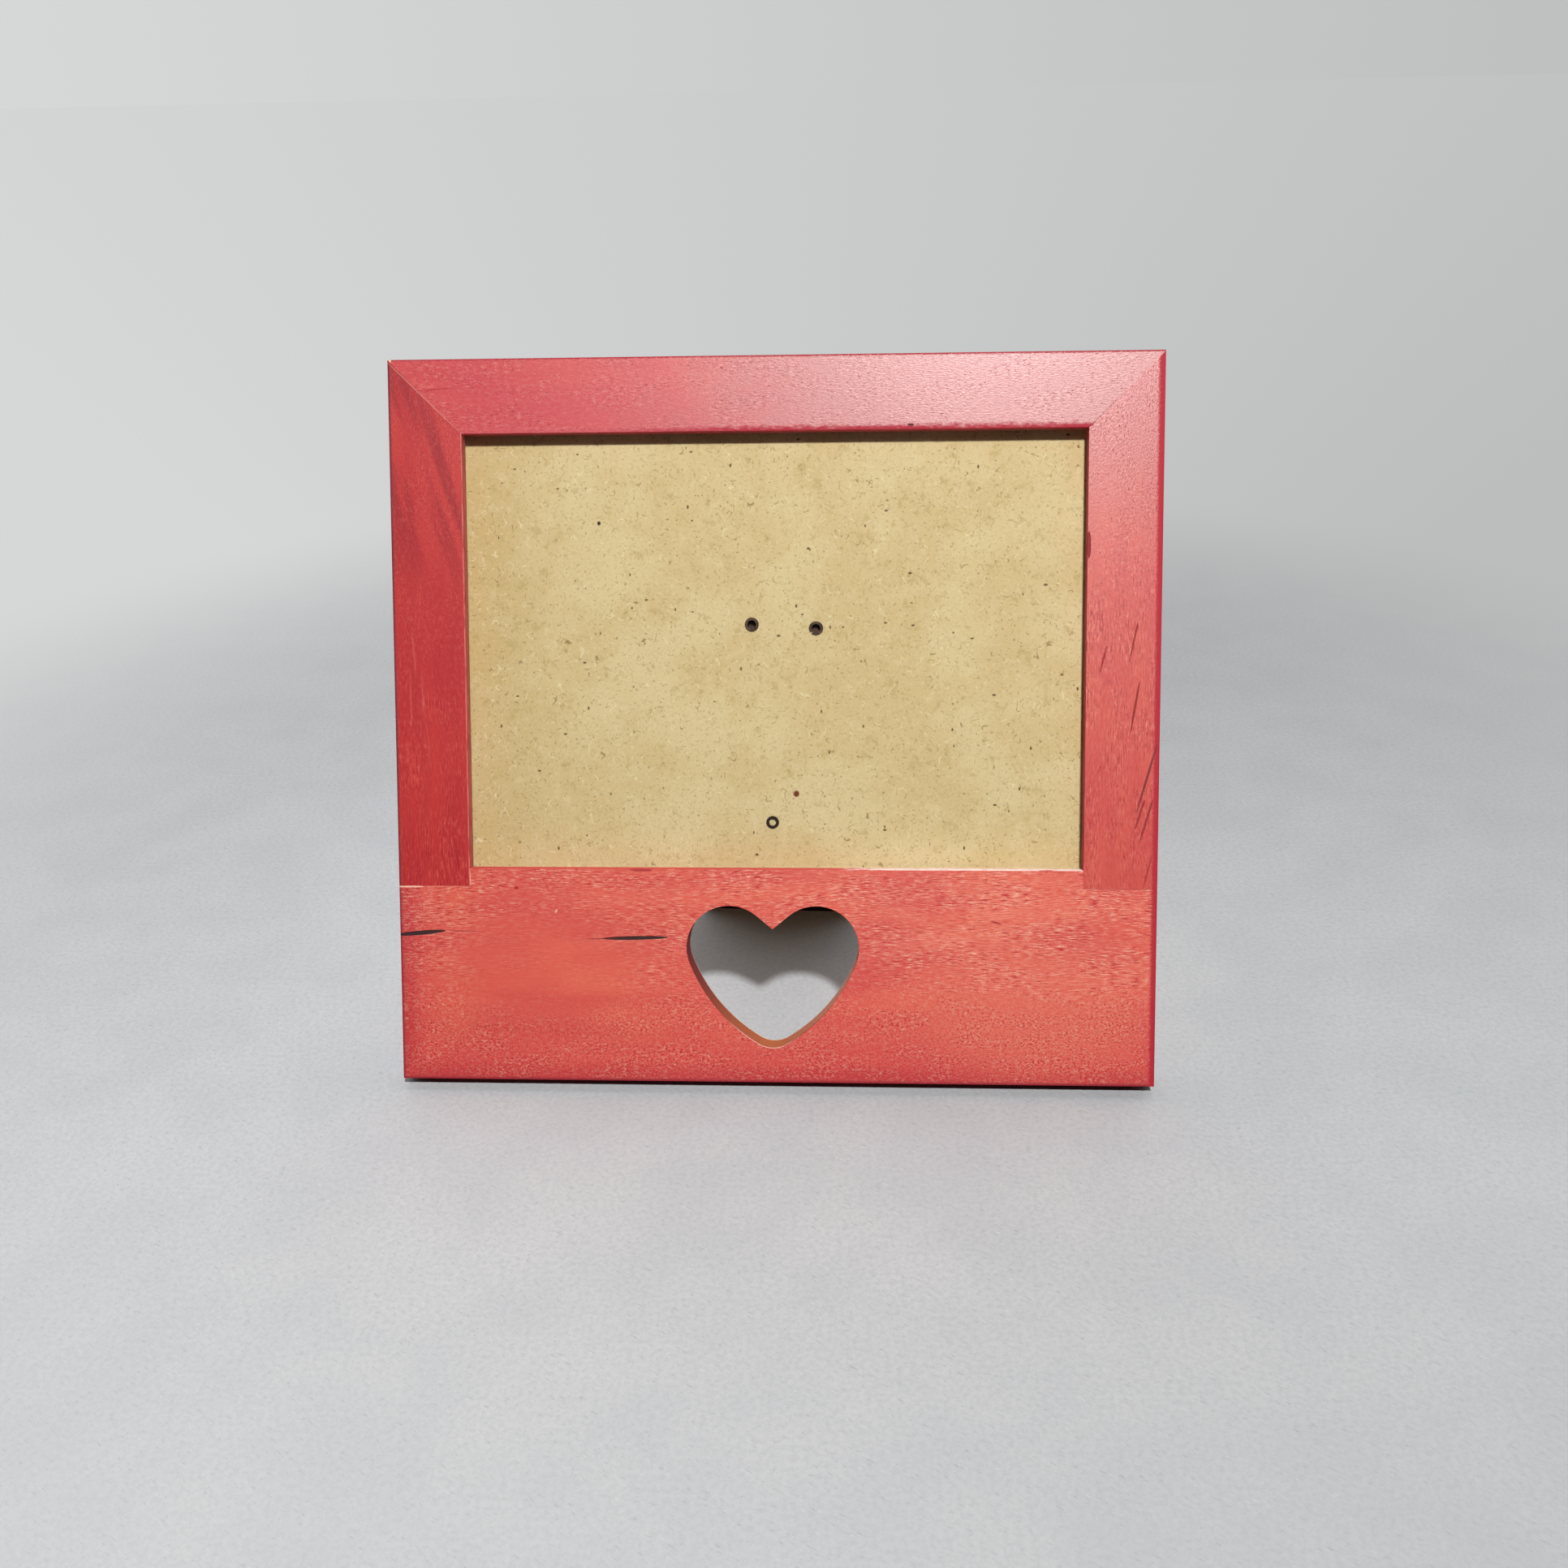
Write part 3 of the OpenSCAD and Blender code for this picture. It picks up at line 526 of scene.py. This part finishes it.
def fibreboard():
    """Raw fibreboard: a smooth tan ground with short fibres, specks and a few dark chips."""
    t = Tree("raw_fibreboard")
    u, v, w = t.face_point()
    point = t.join(u, v, w)
    cloud = t.noise(point, 0.06, 3.0, 0.55, 3.0)
    fine = t.noise(point, 1.6, 3.0, 0.6, 4.0)
    colour = t.mix(t.ramp(cloud, 0.38, 0.64), srgb(225, 200, 148), srgb(232, 210, 162))
    colour = t.mix(t.ramp(u, -60, -86, 0.0, 0.55), colour, srgb(209, 178, 118))
    mottle = t.noise(point, 0.32, 4.0, 0.6, 5.0)
    colour = t.mix(t.ramp(mottle, 0.44, 0.32, 0.0, 0.45), colour, srgb(196, 168, 108))
    colour = t.mix(t.ramp(mottle, 0.54, 0.70, 0.0, 0.45), colour, srgb(238, 220, 176))
    colour = t.mix(t.ramp(fine, 0.50, 0.70, 0.0, 0.35), colour, srgb(190, 162, 104))

    for scale, seed, gate_low, shade, strength, width in FIBRES:
        line = t.noise(point, scale, 0.6, 0.5, seed)
        gate = t.ramp(t.noise(point, scale * 1.35, 0.0, 0.5, seed + 0.5), gate_low, gate_low + 0.05)
        near = t.ramp(t.math("ABSOLUTE", t.math("SUBTRACT", line, 0.5)), width, width * 0.3)
        colour = t.mix(t.math("MULTIPLY", t.math("MULTIPLY", near, gate), strength), colour, shade)
    for pitch, seed, share_of_cells, size, shade, stretch in SPECKS:
        mask = speck_mask(t, u, v, pitch, seed, share_of_cells, size, stretch)
        colour = t.mix(t.math("MULTIPLY", mask, 0.9), colour, shade)
    for spot, radii, shade in SPOTS:
        colour = t.mix(patch(t, u, v, spot, radii, 0.6), colour, shade)
    sides = t.ramp(t.math("ABSOLUTE", t.facing()[2]), 0.9, 0.5)
    colour = t.mix(sides, colour, srgb(170, 138, 88))
    return t.finish(colour, 0.78, fine, 0.03, Specular_IOR_Level=0.35)


def clear_glass():
    """A clear pane: it lets light straight through, and reflects by Fresnel."""
    t = Tree("clear_glass")
    clear = t.node("BsdfTransparent", Color=(0.975, 0.978, 0.970, 1))
    shine = t.node("BsdfGlossy", Color=(1, 1, 1, 1), Roughness=0.03)
    front = t.math("SUBTRACT", 1.0, t.node("NewGeometry").outputs["Backfacing"])
    # The rear surface's reflection is laid on the front one too
    both_sides = t.math("MULTIPLY", t.node("Fresnel", IOR=1.5).outputs[0], 1.8)
    return t.shaders(t.math("MULTIPLY", both_sides, front), clear, shine)


def metal(name, colour, worn, rough, metallic):
    """Plated or blackened steel with faint wear."""
    t = Tree(name)
    u, v, w = t.face_point()
    point = t.join(u, v, w)
    wear = t.noise(point, 2.0, 3.0, 0.6, 2.0)
    cloud = t.noise(point, 0.25, 2.0, 0.5, 9.0)
    shade = t.mix(t.ramp(wear, 0.55, 0.75, 0.0, 0.8), colour, worn)
    shade = t.mix(t.ramp(cloud, 0.4, 0.7, 0.0, 0.35), shade, worn)
    roughness = t.ramp(wear, 0.3, 0.7, rough - 0.06, rough + 0.08, smooth=False)
    return t.finish(shade, roughness, wear, 0.01, Metallic=metallic)


def black_board():
    """Hardboard painted black, with brown fibre at its cut edges."""
    t = Tree("black_hardboard")
    u, v, w = t.face_point()
    point = t.join(u, v, w)
    fine = t.noise(point, 1.4, 3.0, 0.6, 6.0)
    cloud = t.noise(point, 0.08, 2.0, 0.5, 8.0)
    colour = t.mix(t.ramp(cloud, 0.35, 0.7), srgb(20, 20, 21), srgb(31, 30, 30))
    colour = t.mix(t.ramp(fine, 0.62, 0.78, 0.0, 0.5), colour, srgb(58, 54, 50))
    return t.finish(colour, t.ramp(cloud, 0.3, 0.7, 0.46, 0.6, smooth=False), fine, 0.03)


# The ribbon's UVs are millimetres across and along it, divided by this
UV_MM = 100.0
# The pitch of its ribs and of its warp ends, in millimetres
RIB_PITCH, WARP_PITCH = 0.55, 0.28


def ribbon_cloth():
    """Black ribbed ribbon."""
    t = Tree("woven_ribbon")
    at = t.node("SeparateXYZ", Vector=t.vmath("SCALE", t.node("TexCoord").outputs["UV"], scale=UV_MM))
    across, along = at.outputs[0], at.outputs[1]
    ribs = t.math("ABSOLUTE", t.math("SINE", t.math("MULTIPLY", along, math.pi / RIB_PITCH)))
    ends = t.math("ABSOLUTE", t.math("SINE", t.math("MULTIPLY", across, math.pi / WARP_PITCH)))
    fuzz = t.noise(t.join(t.math("MULTIPLY", across, 3.0), t.math("MULTIPLY", along, 1.2), 0.0),
                   1.0, 3.0, 0.7, 5.0)
    height = t.math("MULTIPLY_ADD", ends, 0.25, ribs)
    colour = t.mix(t.ramp(height, 0.1, 1.1), srgb(16, 16, 19), srgb(46, 46, 51))
    colour = t.mix(t.ramp(fuzz, 0.5, 0.8, 0.0, 0.5), colour, srgb(70, 69, 72))
    border = t.ramp(t.math("ABSOLUTE", across), 4.2, 4.5)
    colour = t.mix(t.math("MULTIPLY", border, 0.5), colour, srgb(20, 20, 23))
    return t.finish(colour, 0.8, height, 0.10, Sheen_Weight=0.25, Specular_IOR_Level=0.3)


dark_steel = metal("blackened_steel", srgb(52, 38, 31), srgb(112, 88, 70), 0.38, 0.85)
pale_steel = metal("zinc_plate", srgb(176, 174, 168), srgb(140, 136, 128), 0.34, 1.0)
board_mat = fibreboard()
materials = {
    "top_rail": top_wood(), "left_stile": left_wood(), "right_stile": right_wood(),
    "bottom_rail": bottom_wood(), "glass_pane": clear_glass(), "backing_board": board_mat,
    "stay_rivet_slug": board_mat, "easel_leg": black_board(), "mitre_v_nails": pale_steel,
    "shoulder_v_nails": pale_steel, "hinge_pin": pale_steel, "button_screws": pale_steel,
    "hinge_board_leaf": dark_steel, "hinge_leg_leaf": dark_steel, "board_rivets": dark_steel,
    "stay_board_rivet": dark_steel, "leg_rivets": dark_steel, "stay_leg_rivet": dark_steel,
    "turn_button_top_left": pale_steel, "turn_button_top_right": pale_steel,
    "turn_button_bottom_left": pale_steel, "turn_button_bottom_right": pale_steel,
}


# Vertices nearer than this are one, in millimetres
WELD = 0.002
# Faces that turn by less than the first angle are flat with each other, and edges that turn by more
# than the second are rounded, in degrees
FLAT_ANGLE, SHARP_ANGLE = 0.4, 35
# How wide the rounding is in millimetres, and its steps
ROUNDING_STEPS = 3
SMALL_ROUNDING = 0.06
ROUNDING = {"top_rail": 0.28, "left_stile": 0.28, "right_stile": 0.28, "bottom_rail": 0.28,
            "glass_pane": 0.15, "backing_board": 0.12, "easel_leg": 0.2}


def dress(name, material, round_mm):
    """Gives a CAD node its material, and rounds its edges a little with modifiers."""
    obj = frame["nodes"][name]
    obj.data.materials.clear()
    obj.data.materials.append(material)
    for polygon in obj.data.polygons:
        polygon.use_smooth = True
    weld = obj.modifiers.new("weld", "WELD")
    weld.merge_threshold = WELD * MM
    flat = obj.modifiers.new("flat", "DECIMATE")
    flat.decimate_type = "DISSOLVE"
    flat.angle_limit = math.radians(FLAT_ANGLE)
    bevel = obj.modifiers.new("round", "BEVEL")
    bevel.width = round_mm * MM
    bevel.segments = ROUNDING_STEPS
    bevel.limit_method = "ANGLE"
    bevel.angle_limit = math.radians(SHARP_ANGLE)
    even = obj.modifiers.new("even", "WEIGHTED_NORMAL")
    even.keep_sharp = False


for name, material in materials.items():
    dress(name, material, ROUNDING.get(name, SMALL_ROUNDING))

# The ribbon between the board and the leg, in place of its plain solid. Its route is that of
# part.scad, in the hinge's own y (back) and z (up the board) in millimetres.

HINGE = next(j for j in frame["record"]["behaviour"]["joints"] if j["name"] == "leg_hinge")
HINGE_X = Vector(HINGE["axis"])
HINGE_Y = turn_to_row(0, 0, 1) / MM
HINGE_Z = HINGE_X.cross(HINGE_Y)
LEG_OPEN = math.radians(44)
# How far back its middle lies on the board and on the leg
BOARD_Y, LEG_Y = -1.95, -1.5
# Its tab on the board from end to bend, and its tab on the leg from bend to end
TAB_LOW, TAB_HIGH = -53.6, -45.4
LEG_NEAR, LEG_FAR = 54.8, 63.0
RIBBON_W, RIBBON_T = 10.0, 0.4
BEND_RADIUS = 1.6
# Faces across each side, and how far the cut ends are frayed
COLUMNS = 14
FRAY = 0.25
# How hollow it lies between its tabs, and the distances from a cut end in between which that sets in
CUP = 0.10
CUP_FROM, CUP_TO = 9, 17


def on_leg(down):
    """The ribbon's middle on the leg, at a distance down from the hinge."""
    return Vector((LEG_Y * math.cos(LEG_OPEN) + down * math.sin(LEG_OPEN),
                   LEG_Y * math.sin(LEG_OPEN) - down * math.cos(LEG_OPEN)))


def rounded(path, radius, steps=8):
    """Points along a path of straight runs, with each inner corner turned into a soft bend."""
    out = [path[0]]
    for before, corner, after in zip(path, path[1:], path[2:]):
        start = corner + (before - corner).normalized() * radius
        end = corner + (after - corner).normalized() * radius
        run = max(1, int((start - out[-1]).length))
        out += [out[-1].lerp(start, i / run) for i in range(1, run)]
        out += [start.lerp(corner, t).lerp(corner.lerp(end, t), t)
                for t in (i / steps for i in range(steps + 1))]
    run = int((path[-1] - out[-1]).length)
    last = out[-1]
    return out + [last.lerp(path[-1], i / run) for i in range(1, run + 1)]


def stay_ribbon():
    """The ribbon as one closed sheet of cloth, taut between its tab on the board and that on the leg."""
    route = [Vector((BOARD_Y, TAB_LOW)), Vector((BOARD_Y, TAB_HIGH)), on_leg(LEG_NEAR), on_leg(LEG_FAR)]
    path = rounded(route, BEND_RADIUS)
    length, along = 0.0, [0.0]
    for a, b in zip(path, path[1:]):
        length += (b - a).length
        along.append(length)
    bm = bmesh.new()
    uv = bm.loops.layers.uv.new("UVMap")
    rows = []
    for i, point in enumerate(path):
        step = path[min(i + 1, len(path) - 1)] - path[max(i - 1, 0)]
        side = Vector((-step.y, step.x)).normalized()
        ends = min(along[i], length - along[i])
        ring = []
        for face in (1, -1):
            for c in range(COLUMNS + 1):
                x = (c / COLUMNS - 0.5) * RIBBON_W * face
                # Thinner at the two borders, and slightly hollow between the tabs
                edge = 1 - abs(x) / (RIBBON_W / 2)
                half = RIBBON_T / 2 * min(1.0, 0.55 + 3.0 * edge)
                hollow = min(1.0, max(0.0, (ends - CUP_FROM) / (CUP_TO - CUP_FROM)))
                cup = CUP * (x / RIBBON_W * 2) ** 2 * hollow
                at = point + side * (face * half + cup)
                if ends < 0.01:
                    at = at + step.normalized() * (FRAY if c % 2 else -FRAY)
                ring.append(bm.verts.new(pivot_point(x, at)))
        rows.append(ring)
    count = 2 * (COLUMNS + 1)
    for i in range(len(rows) - 1):
        for c in range(count):
            d = (c + 1) % count
            face = bm.faces.new((rows[i][c], rows[i][d], rows[i + 1][d], rows[i + 1][c]))
            for loop, (k, m) in zip(face.loops, ((i, c), (i, d), (i + 1, d), (i + 1, c))):
                across = (m % (COLUMNS + 1) / COLUMNS - 0.5) * RIBBON_W
                loop[uv].uv = (across / UV_MM, along[k] / UV_MM)
    for ring in (rows[0], rows[-1]):
        for c in range(COLUMNS):
            bm.faces.new((ring[c], ring[c + 1], ring[count - 2 - c], ring[count - 1 - c]))
    bmesh.ops.recalc_face_normals(bm, faces=bm.faces)
    mesh = bpy.data.meshes.new("ribbon_cloth")
    bm.to_mesh(mesh)
    bm.free()
    for polygon in mesh.polygons:
        polygon.use_smooth = True
    obj = bpy.data.objects.new("ribbon_cloth", mesh)
    bpy.context.scene.collection.objects.link(obj)
    mesh.materials.append(ribbon_cloth())
    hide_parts("stay_ribbon")
    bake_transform(obj)


def pivot_point(x, at):
    """A point x along the hinge from its middle, and at (y, z) about it, in the row frame."""
    return Vector(HINGE["pos_m"]) + (HINGE_X * x + HINGE_Y * at.x + HINGE_Z * at.y) * MM


stay_ribbon()

# Floor: a pale sheet that runs out to the horizon

# The background's even tone, at the left and at the right, and its colour. It is brighter at the left
# than at the right, a painted gradient of light
EVEN_TONE = (0.68, 0.51)
EVEN_COLOUR = (0.99, 1.0, 1.0, 1)
FLOOR_HALF = 8.0
# The even tone sets in between these distances from a point behind the object, in metres
TONE_FROM, TONE_TO = 0.20, 0.52
TONE_CENTRE = (0.0, 0.10, 0.0)


def floor():
    """A flat sheet at z 0, which the frame stands on."""
    reach = (-FLOOR_HALF, FLOOR_HALF)
    mesh = bpy.data.meshes.new("floor")
    mesh.from_pydata([(x, y, 0) for y in reach for x in reach], [], [(0, 1, 3, 2)])
    obj = bpy.data.objects.new("floor", mesh)
    bpy.context.scene.collection.objects.link(obj)
    obj.data.materials.append(floor_material())


def floor_material():
    """A pale matt floor. Far from the object it shows an even tone of its own."""
    t = Tree("pale_floor")
    at = t.node("TexCoord").outputs["Object"]
    fine = t.noise(at, 700.0, 3.0, 0.7, 1.0)
    cloud = t.noise(at, 30.0, 3.0, 0.6, 2.0)
    place_x, place_y = t.node("SeparateXYZ", Vector=at).outputs[0:2]
    aslant = t.vmath("ADD", at, t.vmath("SCALE", t.join(0.0, place_x, 0.0), scale=0.6))
    fibre = t.noise(t.vmath("MULTIPLY", aslant, (500, 1500, 1)), 1.0, 3.0, 0.6, 3.0)
    colour = t.mix(t.ramp(cloud, 0.35, 0.65), srgb(193, 195, 197), srgb(199, 200, 201))
    colour = t.mix(t.ramp(fine, 0.38, 0.66, 0.0, 0.5), colour, srgb(176, 178, 181))
    colour = t.mix(t.ramp(fibre, 0.60, 0.70, 0.0, 0.5), colour, srgb(218, 219, 220))
    colour = t.mix(t.ramp(fibre, 0.42, 0.32, 0.0, 0.5), colour, srgb(150, 152, 156))
    path = t.node("LightPath")
    mirrored = t.math("ADD", path.outputs["Is Glossy Ray"], path.outputs["Is Transmission Ray"])
    seen = t.math("ADD", path.outputs["Is Camera Ray"], mirrored, clamp=True)
    # Painted shade: it is darker a little to the right and towards the front, as where light falls off
    painted_falloff_shade = t.math("MULTIPLY", t.ramp(place_x, -0.12, 0.16, 1.0, 0.87),
                     t.ramp(place_y, -0.06, -0.22, 1.0, 0.90))
    colour = t.mix(painted_falloff_shade, (0, 0, 0, 1), colour)
    # It throws less light back on the object than it shows
    matt = t.node("BsdfDiffuse", Color=t.mix(seen, srgb(84, 84, 86), colour))
    tone = t.ramp(t.math("DIVIDE", place_x, t.vmath("LENGTH", at)), -0.6, 0.6, *EVEN_TONE, smooth=False)
    even = t.node("Emission", Color=EVEN_COLOUR, Strength=tone)
    far = t.ramp(t.vmath("DISTANCE", at, TONE_CENTRE), TONE_FROM, TONE_TO)
    return t.shaders(t.math("MULTIPLY", seen, far), matt, even)


floor()

# Light: a small soft key in front to the right, a broader lamp beside it that only shines on gloss,
# and a pale world that is bright behind the object and dim in front of it

# The world's level over a direction's Y, and its tone over X: from, to, and the values there
LEVEL_BY_Y = (-0.05, 0.22, 0.025, 1.0)
# The tone over X is the background's painted gradient of light, brighter at the left
TONE_BY_X = (-0.45, 0.45, *EVEN_TONE)


def lamp(name, at, size, power, gloss_only=False):
    """A round area lamp at a place in the row frame, aimed at the middle of the frame."""
    data = bpy.data.lights.new(name, "AREA")
    data.shape = "DISK"
    data.size = size
    data.energy = power
    obj = bpy.data.objects.new(name, data)
    obj.location = at
    obj.rotation_euler = (place(0, HEIGHT / 2, 0) - obj.location).to_track_quat("-Z", "Y").to_euler()
    obj.visible_diffuse = not gloss_only
    bpy.context.scene.collection.objects.link(obj)


def pale_world():
    """A pale surround: even for the camera, and bright only behind the object as light.

    Gloss and glass see the lesser of its light and its tone, so that they show the camera's
    background behind the object and next to nothing in front of it.
    """
    world = bpy.data.worlds.new("pale_world")
    world.use_nodes = True
    tree = world.node_tree
    kinds = ("TexCoord", "SeparateXYZ", "MapRange", "MapRange", "LightPath", "Math", "Math", "Mix", "Mix")
    way, split, level, tone, path, least, gloss, lit, seen = (
        tree.nodes.new("ShaderNode" + kind) for kind in kinds)
    for node, values in ((level, LEVEL_BY_Y), (tone, TONE_BY_X)):
        for socket, value in zip(node.inputs[1:5], values):
            socket.default_value = value
    least.operation = "MINIMUM"
    gloss.operation = "MAXIMUM"
    back = tree.nodes["Background"]
    back.inputs[0].default_value = EVEN_COLOUR
    share, first, second, _ = MIX_SOCKETS["FLOAT"]
    for out, socket in (
        (way.outputs["Generated"], split.inputs[0]),
        (split.outputs["Y"], level.inputs[0]),
        (split.outputs["X"], tone.inputs[0]),
        (level.outputs[0], least.inputs[0]),
        (tone.outputs[0], least.inputs[1]),
        (path.outputs["Is Glossy Ray"], gloss.inputs[0]),
        (path.outputs["Is Transmission Ray"], gloss.inputs[1]),
        (gloss.outputs[0], lit.inputs[share]),
        (level.outputs[0], lit.inputs[first]),
        (least.outputs[0], lit.inputs[second]),
        (path.outputs["Is Camera Ray"], seen.inputs[share]),
        (lit.outputs[0], seen.inputs[first]),
        (tone.outputs[0], seen.inputs[second]),
        (seen.outputs[0], back.inputs[1]),
    ):
        tree.links.new(out, socket)
    bpy.context.scene.world = world


lamp("key", at=(0.15, -0.82, 0.97), size=0.08, power=15.0)
lamp("glare", at=(0.21, -1.05, 1.05), size=0.18, power=7.0, gloss_only=True)
pale_world()
bpy.context.scene.view_settings.view_transform = "Standard"

# Camera, from a fit of the frame's corners in the 1932 x 1932 photograph

FOCAL_PX = 1897.0
IMAGE_PX = 1932.0
SENSOR_MM = 36.0
# Its place in face coordinates, and its turns in degrees from looking straight at the face
CAMERA_AT = (25.71, 118.56, -425.21)
CAMERA_YAW, CAMERA_PITCH, CAMERA_ROLL = 3.05, 4.59, -0.17
CLIP_FROM, CLIP_TO = 0.01, 50


def make_camera():
    """The photograph's own camera."""
    data = bpy.data.cameras.new("camera")
    data.sensor_width = SENSOR_MM
    data.lens = SENSOR_MM * FOCAL_PX / IMAGE_PX
    data.clip_start = CLIP_FROM
    data.clip_end = CLIP_TO
    turn = (Matrix.Rotation(math.radians(CAMERA_ROLL), 3, "Z")
            @ Matrix.Rotation(math.radians(CAMERA_PITCH), 3, "X")
            @ Matrix.Rotation(math.radians(CAMERA_YAW), 3, "Y"))
    # The fit's axes are right, down the face and back
    right, down, ahead = (turn_to_row(row.x, -row.y, row.z) / MM for row in turn)
    pose = Matrix((right, -down, -ahead)).transposed().to_4x4()
    pose.translation = place(*CAMERA_AT)
    obj = bpy.data.objects.new("camera", data)
    obj.matrix_world = pose
    bpy.context.scene.collection.objects.link(obj)
    bpy.context.scene.camera = obj


make_camera()
